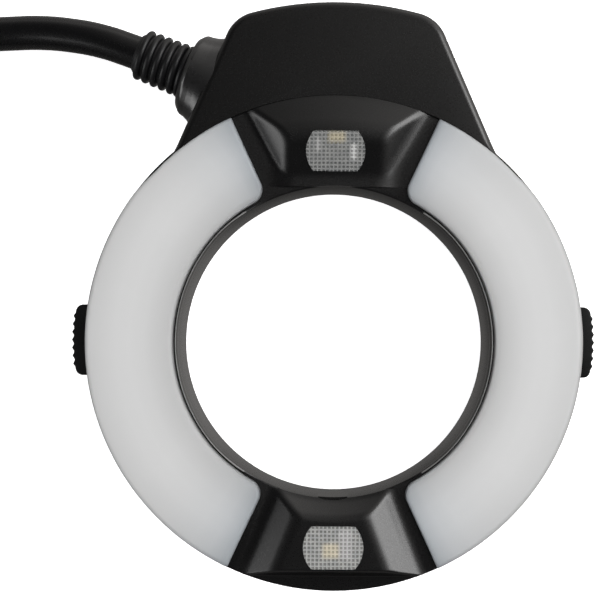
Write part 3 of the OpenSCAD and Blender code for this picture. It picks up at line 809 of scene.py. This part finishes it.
def field_obj(name, height, xs, ys):
    """Closed solid under a height function over a grid."""
    nx, ny = len(xs), len(ys)
    verts = [(x, y, height(x, y)) for y in ys for x in xs]
    verts += [(x, y, RIM - 0.4) for y in ys for x in xs]
    faces = []
    base = nx * ny
    for j in range(ny - 1):
        for i in range(nx - 1):
            q = (j * nx + i, j * nx + i + 1, (j + 1) * nx + i + 1, (j + 1) * nx + i)
            faces.append(q)
            faces.append(tuple(base + k for k in reversed(q)))
    ring = ([i for i in range(nx)] + [j * nx + nx - 1 for j in range(1, ny)]
            + [(ny - 1) * nx + i for i in range(nx - 2, -1, -1)] + [j * nx for j in range(ny - 2, 0, -1)])
    for k in range(len(ring)):
        l = (k + 1) % len(ring)
        faces.append((ring[k], base + ring[k], base + ring[l], ring[l]))
    return mesh_obj(name, verts, faces)


def steps(lo, hi, step):
    n = round((hi - lo) / step)
    return [lo + (hi - lo) * k / n for k in range(n + 1)]


def bore_cutter(grow):
    v, f = revolve([(0, 0), (bore_r(0, grow), 0), (bore_r(40, grow), 40), (0, 40)], n=240)
    return mesh_obj("bore", v, f)


# the upper pod: tilted face, two side walls, a back that falls to the housing; the lower pod: level face, four walls
UP_SIDES = (rising((-18.5, 48.2), (-11.25, 34.7), 0.76), rising((11.25, 34.7), (19.0, 47.8), 0.76))
LO_SIDES = (rising((-12.5, -32.4), (-19.0, -48.9), 0.565), rising((18.75, -48.9), (12.5, -32.4), 0.565))


def upper_height(x, y):
    r = math.hypot(x, y)
    z = smin(18.95 + (y - 39.85) * math.tan(TILT), 17.4 + 0.42 * (52.35 - r), 2.0)
    for side in UP_SIDES:
        z = smin(z, side(x, y), 0.9)
    foot = 0.8 + 0.65 * min(1.0, max(0.0, x / 6.0))
    t = min(1.0, max(0.0, (abs(x) - 8.5) / 6.0))
    strip = RIM + 0.78 * (1 - t * t * (3 - 2 * t))
    return smax(smax(z, RIM, foot), strip, 0.3) - 0.004


def lower_height(x, y):
    r = math.hypot(x, y)
    z = smin(20.0, RIM + 0.909 * (r - 33.3), 0.8)
    z = smin(z, 20.0 + 2.4 * (y + 48.25), 1.0)
    for side in LO_SIDES:
        z = smin(z, side(x, y), 0.9)
    return smax(z, RIM, 0.8) - 0.004


lo_rows = steps(-53.2, -50.5, 0.3) + steps(-50.4, -47.4, 0.1) + steps(-47.1, -31.2, 0.3)
up_rows = steps(33.0, 34.6, 0.4) + steps(34.7, 35.9, 0.1) + steps(36.2, 53.2, 0.3)
for height, rows, limit in ((upper_height, up_rows, 52.43), (lower_height, lo_rows, 52.93)):
    pod = field_obj("pod", height, steps(-22.2, 22.2, 0.2), rows)
    boolean(pod, bore_cutter(0.03), "DIFFERENCE")
    v, f = revolve([(0, 0), (limit, 0), (limit, 40), (0, 40)], n=240)
    boolean(pod, mesh_obj("limit", v, f), "INTERSECT")
    boolean(front, pod, "UNION")

# bosses for the chassis screws
for a in (75, 105, 255, 285):
    cx, cy = pol(38.2, a)
    v, f = prism([(cx + pol(2.2, 15 * k)[0], cy + pol(2.2, 15 * k)[1]) for k in range(24)], 7.0, 15.2)
    boolean(front, mesh_obj("boss", v, f), "UNION")

# room inside the pods
cav_up = [(x, y, z) for x, y in [(-9.2, 36.8), (9.2, 36.8), (15.6, 47.2), (8, 50), (-8, 50), (-15.6, 47.2)] for z in (14.0, 14.8)]
cav_up += moved([(sx * 9.2, sy * 3.7, -1.6) for sx in (-1, 1) for sy in (-1, 1)], UPPER)
cav_lo = [(x, y, z) for x, y in [(-10.5, -35.8), (10.5, -35.8), (16, -47.4), (8, -50.3), (-8, -50.3), (-16, -47.4)] for z in (14.0, 14.8)]
cav_lo += [(x, y, 18.4) for x, y in [(-6.6, -38.4), (6.6, -38.4), (9.8, -46.8), (-9.8, -46.8)]]
for pts in (cav_up, cav_lo):
    boolean(front, hull_obj("room", pts), "DIFFERENCE")


def barrel(w, h, grow=0.0, r=6.6, corner=0.6):
    """Lamp window outline: straight top and bottom, bowed ends."""
    hw, hh = w / 2 + grow, h / 2 + grow
    c = hw - r
    a = math.degrees(math.asin(hh / r))
    right = [(c + pol(r, -a + 2 * a * k / 10)[0], pol(r, -a + 2 * a * k / 10)[1]) for k in range(11)]
    pts = [(*p, corner if k in (0, 10) else 0) for k, p in enumerate(right)]
    pts += [(-x, -y, q) for x, y, q in pts]
    return rounded(pts, 4)


UP_WIN, LO_WIN = (12.5, 8.62, 0.1, 0.5), (12.7, 9.03, 0.13, -0.2)
for mat, (w, h, dx, dy) in ((UPPER, UP_WIN), (LOWER, LO_WIN)):
    v, f = prism([(x + dx, y + dy) for x, y in barrel(w, h, 0.06)], -4, 4)
    boolean(front, mesh_obj("aperture", moved(v, mat), f), "DIFFERENCE")

# room under the diffusers
for a in (0, 180):
    v, f = revolve([(36.5, 13.8), (50.2, 13.8), (50.2, 17.5), (36.5, 17.5)], a - 61.5, a + 61.5, 120)
    boolean(front, mesh_obj("window", v, f), "DIFFERENCE")
# notch in the edge of the bore, at the foot of the lower pod
v, f = prism([(-3.1, -33.15), (-2.2, -33.4), (-1, -33.58), (0, -33.63), (1, -33.58), (2.2, -33.4), (3.1, -33.15), (3.1, -32), (-3.1, -32)], 15.7, 18)
boolean(front, mesh_obj("slit", v, f), "DIFFERENCE")
piece(front, "head", M["shell"], ["front_frame"], 30)
# painted highlight: the lips' top and inner faces get the light grey lip material
front.data.materials.append(M["lip"])
for p in front.data.polygons:
    c = p.center / MM
    r = math.hypot(c.x, c.y)
    if c.z > 16.9 and r < LIP_R + 0.02 and abs(math.degrees(math.atan2(c.y, abs(c.x)))) < 56 and (p.normal.x * c.x + p.normal.y * c.y) / r < 0.5:
        p.material_index = 1


# ---------------------------------------------------------------- lamp windows
def lamp_window(name, mat, win, node, pit, rib):
    """Plate with a square grid of small pits between flat ridges."""
    pitch, top, floor_z = 0.85, 0.24, -0.02
    nx, ny = 17, 13
    verts, faces, index = [], [], {}
    x0, y0 = -nx * pitch / 2, -ny * pitch / 2
    for j in range(ny + 1):
        for i in range(nx + 1):
            index[i, j] = len(verts)
            verts.append((x0 + i * pitch, y0 + j * pitch, top))
    for j in range(ny):
        for i in range(nx):
            cx, cy = x0 + (i + 0.5) * pitch, y0 + (j + 0.5) * pitch
            rows = [[index[i, j], index[i + 1, j], index[i + 1, j + 1], index[i, j + 1]]]
            for half, z in ((0.31, top), (0.235, floor_z)):
                rows.append([len(verts) + k for k in range(4)])
                verts += [(cx + a * half, cy + b * half, z) for a, b in ((-1, -1), (1, -1), (1, 1), (-1, 1))]
            for a, b in zip(rows, rows[1:]):
                for k in range(4):
                    faces.append((a[k], a[(k + 1) % 4], b[(k + 1) % 4], b[k]))
            faces.append(tuple(rows[-1]))
    ring = ([index[i, 0] for i in range(nx)] + [index[nx, j] for j in range(ny)]
            + [index[i, ny] for i in range(nx, 0, -1)] + [index[0, j] for j in range(ny, 0, -1)])
    base = len(verts)
    verts += [(verts[k][0], verts[k][1], -1.45) for k in ring]
    n = len(ring)
    for k in range(n):
        faces.append((ring[k], base + k, base + (k + 1) % n, ring[(k + 1) % n]))
    faces.append(tuple(base + k for k in range(n)))
    ob = mesh_obj(name, verts, faces)
    w, h, dx, dy = win
    v, f = prism(barrel(w, h), -3, 3)
    boolean(ob, mesh_obj("outline", v, f), "INTERSECT")
    me = ob.data
    ridge = [p.center.z / MM > floor_z + 0.02 and p.normal.z > 0.2 for p in me.polygons]
    for vert in me.vertices:
        vert.co = (mat @ (vert.co / MM + Vector((dx, dy, 0)))) * MM
    piece(ob, "head", M[pit], [node], 20)
    me.materials.append(M[rib])
    for p, r in zip(me.polygons, ridge):
        p.material_index = 1 if r else 0
    return ob


lamp_window("upper_window", UPPER, UP_WIN, "upper_lamp_window", "up_pit", "up_ridge")
lamp_window("lower_window", LOWER, LO_WIN, "lower_lamp_window", "lo_pit", "lo_ridge")


# ---------------------------------------------------------------- diffusers
def shell_grid(profile, half, rc, ro, soft, centre):
    """Open dome over an arc. profile runs from the inner wall's foot to the outer wall's foot."""
    m = len(profile)
    r_in, r_out = profile[0][0], profile[-1][0]
    ends = [0.0, 0.04, 0.12, 0.24, 0.4, 0.58, 0.8, 1.2, 2.0]
    mids = 44

    def reach(r):
        d = 0.0
        if r < r_in + rc:
            q = rc - (r - r_in)
            d = rc - math.sqrt(max(0.0, rc * rc - q * q))
        if r > r_out - ro:
            q = ro - (r_out - r)
            d = max(d, ro - math.sqrt(max(0.0, ro * ro - q * q)))
        return math.radians(half[0] + (half[1] - half[0]) * (r - r_in) / (r_out - r_in)) - d / r

    cols = [(-1, e) for e in ends] + [(k / mids, None) for k in range(-mids + 1, mids)] + [(1, e) for e in reversed(ends)]
    verts, faces = [], []
    foot = profile[0][1]
    up = []
    for j in range(m):
        a, b = profile[max(0, j - 1)], profile[min(m - 1, j + 1)]
        d = Vector((b[0] - a[0], b[1] - a[1])).normalized()
        up.append(0.0 if j in (0, m - 1) else abs(d.x))
    for s, e in cols:
        for j, (r, z) in enumerate(profile):
            top = reach(r)
            if e is None:
                ang = s * (top - ends[-1] / 43.0)
                drop = 0.0
            else:
                ang = s * (top - e / 43.0)
                drop = soft - math.sqrt(max(0.0, soft * soft - (soft - e) ** 2)) if e < soft else 0.0
            ang += math.radians(centre)
            verts.append((r * math.cos(ang), r * math.sin(ang), z - drop * up[j]))
    n = len(cols)
    for i in range(n - 1):
        for j in range(m - 1):
            faces.append((i * m + j, i * m + j + 1, (i + 1) * m + j + 1, (i + 1) * m + j))
    walls = []
    for i in (n - 1, 0):
        low = [i * m]
        for j in range(2, m - 2):
            x, y, z = verts[i * m + j]
            low.append(len(verts))
            verts.append((x, y, foot))
        low.append(i * m + m - 1)
        tops = [i * m + j for j in range(1, m - 1)]
        for k in range(len(tops) - 1):
            faces.append((tops[k], tops[k + 1], low[k + 1], low[k]))
        walls.append(low)
    loop = [i * m for i in range(n - 1)] + walls[0][:-1] + [i * m + m - 1 for i in range(n - 1, 0, -1)] + walls[1][:0:-1]
    return verts, faces, loop


dome_out = [(34.05, 18.4), (34.2, 18.95), (34.7, 19.4), (35.8, 19.7), (38.5, 19.92), (43, 20), (48, 19.93), (50.8, 19.75),
            (51.75, 19.4), (52.15, 18.8), (52.3, 17.6)]
dome_in = [(35.3, 17.3), (35.45, 17.65), (35.8, 17.95), (36.9, 18.3), (39.2, 18.55), (43, 18.65), (47, 18.55), (49.4, 18.25),
           (50.2, 18.05), (50.8, 17.75), (51.1, 17.3)]


def diffuser(name, centre, node):
    out = [(34.05, 16.52)] + catmull(dome_out, 5) + [(52.3, 16.52)]
    back = [(35.3, 16.52)] + catmull(dome_in, 5) + [(51.1, 16.52)]
    v1, f1, l1 = shell_grid(out, (65.0, 65.0), 3.0, 0.5, 1.0, centre)
    v2, f2, l2 = shell_grid(back, (63.2, 63.2), 1.6, 0.4, 0.5, centre)
    # the outer edge lies closer to the rim everywhere but beside the housing
    v1 = [wider(*p) for p in v1]
    base = len(v1)
    faces = f1 + [tuple(base + k for k in f) for f in f2]
    n = len(l1)
    for k in range(n):
        faces.append((l1[k], l1[(k + 1) % n], base + l2[(k + 1) % n], base + l2[k]))
    ob = mesh_obj(name, v1 + v2, faces)
    piece(ob, "head", M["diffuser"], [node], 50)
    return ob


def wider(x, y, z):
    r = math.hypot(x, y)
    if r < 47:
        return x, y, z
    t = min(1.0, max(0.0, (44 - math.degrees(math.atan2(y, abs(x)))) / 8))
    k = 1 + 0.44 * t * t * (3 - 2 * t) * (r - 47) / 5.3 / r
    return x * k, y * k, z


diffuser("left_opal", 180, "left_diffuser")
diffuser("right_opal", 0, "right_diffuser")


# ---------------------------------------------------------------- release buttons
def button(name, side, body, node):
    """Ribbed cap with a slightly bowed face, on a shank behind the wall."""
    hw, ribs, pitch, tooth, cr = 7.7, 7, 1.74, 0.36, 1.6
    face, lift = (56.62, 0.13) if side < 0 else (56.4, -0.25)
    half = ribs * pitch / 2
    outer = []
    for k in range(ribs * 10 + 1):
        y = -half + k * pitch / 10
        rise = (0.5 - 0.5 * math.cos(2 * math.pi * k / 10)) ** 1.4
        outer.append((-face + 0.42 * (y / half) ** 2 - tooth * rise, y))
    cx = -face + 0.42 + cr
    corner_lo = [(cx - pol(cr, a)[0], -hw + cr - pol(cr, a)[1]) for a in (80, 60, 40, 20, 5)]
    corner_hi = [(x, -y) for x, y in reversed(corner_lo)]
    loop = [(-51.2, -hw), (cx, -hw)] + corner_lo + outer + corner_hi + [(cx, hw), (-51.2, hw)]
    loop = [(x, y + lift) for x, y in loop]
    clean = [p for i, p in enumerate(loop) if i == 0 or (Vector(p) - Vector(loop[i - 1])).length > 0.03]
    v, f = prism(clean, 2.4, 10.2, top=0.35, bottom=0.35, seg=3)
    ob = mesh_obj(name, v, f)
    for x0, x1, y, z0, z1 in ((-51.6, -48.8, 7.4, 4.3, 10.2), (-49.8, -48.8, 9.2, 6.8, 9.8)):
        v, f = prism([(x0, -y), (x1, -y), (x1, y), (x0, y)], z0, z1, top=0.2, bottom=0.2, seg=2)
        boolean(ob, mesh_obj("shank", v, f), "UNION")
    v, f = prism([(-51.2, 1), (-48.8, 1), (-48.8, 6), (-51.2, 6)], 4.01, 4.6)
    boolean(ob, mesh_obj("foot", v, f), "UNION")
    if side > 0:
        for vert in ob.data.vertices:
            vert.co = Vector((-vert.co.x, -vert.co.y, vert.co.z))
    piece(ob, body, M["button"], [node], 40)
    return ob


button("left_button", -1, "left_latch", "left_release_button")
button("right_button", 1, "right_latch", "right_release_button")


# ---------------------------------------------------------------- return springs
def coil_spring(name, side, node):
    """Compression spring with closed ends, on the button's axis."""
    turns, wire, mean, x0, x1 = 6.0, 0.25, 1.55, -48.5, -44.1
    per, sides = 20, 8
    steps = int(turns * per)
    dead = 0.8
    lead = (x1 - x0 - 2 * dead * 2.1 * wire) / (turns - 2 * dead)
    verts, faces = [], []
    for i in range(steps + 1):
        t = i / per
        if t < dead:
            x = x0 + t * 2.1 * wire
        elif t > turns - dead:
            x = x1 - (turns - t) * 2.1 * wire
        else:
            x = x0 + dead * 2.1 * wire + (t - dead) * lead
        c, sn = pol(1, 360 * t)
        for k in range(sides):
            a, b = pol(wire, 360 * k / sides)
            verts.append((x + b, (mean + a) * c, 8.4 + (mean + a) * sn))
    for i in range(steps):
        for k in range(sides):
            l = (k + 1) % sides
            faces.append((i * sides + k, (i + 1) * sides + k, (i + 1) * sides + l, i * sides + l))
    faces.append(tuple(range(sides)))
    faces.append(tuple(steps * sides + k for k in reversed(range(sides))))
    if side > 0:
        verts = [(-x, -y, z) for x, y, z in verts]
    ob = mesh_obj(name, verts, faces)
    piece(ob, "head", M["steel"], [node], 60)
    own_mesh(ob)
    return ob


coil_spring("left_spring", -1, "left_return_spring")
coil_spring("right_spring", 1, "right_return_spring")

# ---------------------------------------------------------------- strain relief
sleeve = [(4.2, -5.0), (4.2, 0.02), (5.6, 0.02, 0.2), (5.85, 0.5, 0.25), (5.6, 1.0, 0.2), (4.75, 1.15, 0.2)]
ridges = []
for k in range(5):
    s, top = 2.12 + 1.965 * k, 5.8 - 0.05 * k
    ridges += [(4.6, s - 0.75)] + [(top - 0.72 + 0.72 * math.cos(math.radians(a)), s + 0.72 * math.sin(math.radians(a))) for a in range(-75, 76, 25)] + [(4.6, s + 0.75)]
tail_end = [(4.45, 11.0, 0.15), (4.05, 11.5, 0.15), (3.72, 11.5)]
outline = rounded(sleeve, 3) + ridges + rounded([(4.5, 10.9)] + tail_end, 3) + [(3.72, -5.0)]
v, f = revolve(outline, n=64)
relief = mesh_obj("ridged_sleeve", moved(v, Matrix.Translation(0.32 * SAG) @ to_gland), f)
piece(relief, "head", M["boot"], ["strain_relief"], 40)
# the cable's last stretch, inside the housing
v, f = revolve(rounded([(0, -13.0), (3.7, -13.0, 0.4), (3.7, -0.02), (0, -0.02)], 3), n=48)
stub = mesh_obj("cable_inner", moved(v, to_gland), f)
piece(stub, "head", M["cord"], (), 40)


# ---------------------------------------------------------------- cable tie
def tie():
    def frame_loop(r0, r1, z0, z1, r):
        return ccw(rounded([(r0, z0, r), (r1, z0, r), (r1, z1, r), (r0, z1, r)], 5))
    outer = frame_loop(35.75, 52.6, 0.05, 8.75, 3.4)
    inner = frame_loop(36.6, 51.85, 0.0 + 0.72, 8.1, 3.0)
    verts, faces = [], []
    rows = [(-4.5, 0.0), (-4.35, 0.12), (4.35, 0.12), (4.5, 0.0)]
    n = len(outer)
    for y, g in rows:
        o = inset(outer, -g + 0.12)
        verts += [(x, y, z) for x, z in o]
    for y, g in rows:
        i = inset(inner, g - 0.12 if g else 0.0)
        verts += [(x, y, z) for x, z in i]
    m = len(rows)
    for k in range(m - 1):
        for i in range(n):
            j = (i + 1) % n
            faces.append((k * n + i, k * n + j, (k + 1) * n + j, (k + 1) * n + i))
            b = m * n
            faces.append((b + k * n + i, b + (k + 1) * n + i, b + (k + 1) * n + j, b + k * n + j))
    for k in (0, m - 1):
        for i in range(n):
            j = (i + 1) % n
            faces.append((k * n + i, k * n + j, m * n + k * n + j, m * n + k * n + i))
    turn = Matrix.Translation(Vector((COIL[0], COIL[1], 0))) @ Matrix.Rotation(math.radians(195), 4, "Z")
    ob = mesh_obj("coil_strap", moved(verts, turn), faces)
    v, f = prism(rounded([(41, -4.8, 0.8), (47, -4.8, 0.8), (47, 4.8, 0.8), (41, 4.8, 0.8)], 4), 8.5, 9.9, top=0.4, seg=3)
    boolean(ob, mesh_obj("buckle", moved(v, turn), f), "UNION")
    piece(ob, "head", M["tie"], ["cable_tie"], 40)
    return ob


strap = tie()

# ---------------------------------------------------------------- carried-over pieces
paint = {
    "rear_cover": "rear", "chassis": "chassis", "upper_led_board": "led_board", "lower_led_board": "led_board",
    "upper_focus_led": "led", "lower_focus_led": "led", "left_reflector": "bright", "right_reflector": "bright",
    "left_flash_tube": "tube", "right_flash_tube": "tube", "tube_end_boots": "silicone", "main_board": "board",
    "trigger_transformer": "transformer", "trigger_capacitor": "capacitor", "wire_header": "header", "lead_wires": "wire",
    "board_screws": "screw", "chassis_screws": "screw", "rear_screws": "screw", "cable_clamp": "steel",
    "left_release_yoke": "steel", "right_release_yoke": "steel",
    "plug_boot": "boot", "plug_body": "plug", "plug_shell": "chrome", "plug_insert": "plug", "plug_pins": "gold",
}
for name, key in paint.items():
    nodes[name].data.materials.clear()
    nodes[name].data.materials.append(M[key])

# ---------------------------------------------------------------- floor and light
floor_mat = bpy.data.materials.new("floor_white")
tree, sh, co = links_of(floor_mat)
tree.links.new(ramp(tree, noise(tree, co, 6.0), [(0.3, (0.9, 0.9, 0.9)), (0.7, (0.92, 0.92, 0.92))]), sh.inputs["Base Color"])
sh.inputs["Roughness"].default_value = 0.9
sh.inputs["Emission Color"].default_value = (1, 1, 1, 1)
sh.inputs["Emission Strength"].default_value = 0.85
sh.inputs["Specular IOR Level"].default_value = 0.0
me = bpy.data.meshes.new("floor")
me.from_pydata([(-3, -3, -0.0002), (3, -3, -0.0002), (3, 3, -0.0002), (-3, 3, -0.0002)], [], [(0, 1, 2, 3)])
floor = bpy.data.objects.new("floor", me)
scene.collection.objects.link(floor)
me.materials.append(floor_mat)
floor.visible_glossy = False

world = bpy.data.worlds.new("world")
scene.world = world
world.use_nodes = True
wt = world.node_tree
wt.nodes.clear()
bg = wt.nodes.new("ShaderNodeBackground")
wo = wt.nodes.new("ShaderNodeOutputWorld")
wt.links.new(bg.outputs["Background"], wo.inputs["Surface"])
wc = wt.nodes.new("ShaderNodeTexCoord")


def lean(dx, dy, offset, dz=0.0):
    """Brightness that grows towards one side of the studio."""
    dot = wt.nodes.new("ShaderNodeVectorMath")
    dot.operation = "DOT_PRODUCT"
    dot.inputs[1].default_value = (dx, dy, dz)
    wt.links.new(wc.outputs["Generated"], dot.inputs[0])
    add = wt.nodes.new("ShaderNodeMath")
    add.operation = "ADD"
    add.use_clamp = True
    add.inputs[1].default_value = offset
    wt.links.new(dot.outputs["Value"], add.inputs[0])
    return add.outputs[0]


up = wt.nodes.new("ShaderNodeSeparateXYZ")
wt.links.new(wc.outputs["Generated"], up.inputs["Vector"])
side = wt.nodes.new("ShaderNodeMapRange")
side.inputs["From Min"].default_value = -0.12
side.inputs["From Max"].default_value = 0.12
wt.links.new(up.outputs["Z"], side.inputs["Value"])
mix = wt.nodes.new("ShaderNodeMix")
mix.data_type = "FLOAT"
wt.links.new(side.outputs["Result"], mix.inputs[0])


def calc(op, a, b, c=None):
    n = wt.nodes.new("ShaderNodeMath")
    n.operation = op
    for k, v in enumerate((a, b) if c is None else (a, b, c)):
        if isinstance(v, (int, float)):
            n.inputs[k].default_value = v
        else:
            wt.links.new(v, n.inputs[k])
    return n.outputs[0]


# below the horizon: the lit table, brighter to the sides than ahead
below = lean(0.39, 0.36, 0.265)
xx = calc("MULTIPLY", up.outputs["X"], up.outputs["X"])
yy = calc("MULTIPLY", up.outputs["Y"], up.outputs["Y"])
skew = calc("MAXIMUM", calc("MINIMUM", calc("MULTIPLY", calc("SUBTRACT", xx, yy), 1.9), 0.12), -0.05)
wt.links.new(calc("MAXIMUM", calc("ADD", below, skew), 0.14), mix.inputs[2])
# above it: a broad glow from the key's side and a low band behind the object
glow = lean(0.742, 0.52, 0.0, 0.4226)
cube = calc("POWER", glow, 3.0)
low = calc("POWER", calc("MINIMUM", calc("MAXIMUM", calc("SUBTRACT", 1.0, up.outputs["Z"]), 0.0), 1.0), 4.0)
band = calc("MULTIPLY", calc("MAXIMUM", up.outputs["Y"], 0.0), calc("MAXIMUM", calc("MULTIPLY_ADD", up.outputs["X"], 0.9, 0.75), 0.0))
band = calc("MULTIPLY", low, calc("MULTIPLY_ADD", band, 1.65, 0.4))
wt.links.new(calc("MULTIPLY_ADD", band, 1.0, calc("MULTIPLY_ADD", cube, 1.35, 0.045)), mix.inputs[3])
wt.links.new(mix.outputs[0], bg.inputs["Strength"])
bg.inputs["Color"].default_value = (1.0, 0.97, 0.94, 1)


def softbox(name, azimuth, elevation, dist, w, h, power, color=(1, 1, 1)):
    light = bpy.data.lights.new(name, "AREA")
    light.shape = "RECTANGLE"
    light.size, light.size_y = w, h
    light.energy = power
    light.color = color
    ob = bpy.data.objects.new(name, light)
    scene.collection.objects.link(ob)
    a, e = math.radians(azimuth), math.radians(elevation)
    d = Vector((math.cos(a) * math.cos(e), math.sin(a) * math.cos(e), math.sin(e)))
    ob.location = d * dist
    ob.rotation_mode = "QUATERNION"
    ob.rotation_quaternion = d.to_track_quat("Z", "Y")
    return ob


key = softbox("key", 17, 38, 0.9, 0.62, 0.5, 7.0)
fill = softbox("fill", 196, 21, 0.9, 0.7, 0.5, 3.8)
top = softbox("top", 25, 83, 0.9, 0.6, 0.6, 9.3)
key.visible_diffuse = fill.visible_diffuse = False
top.visible_glossy = False
world.cycles_visibility.diffuse = False
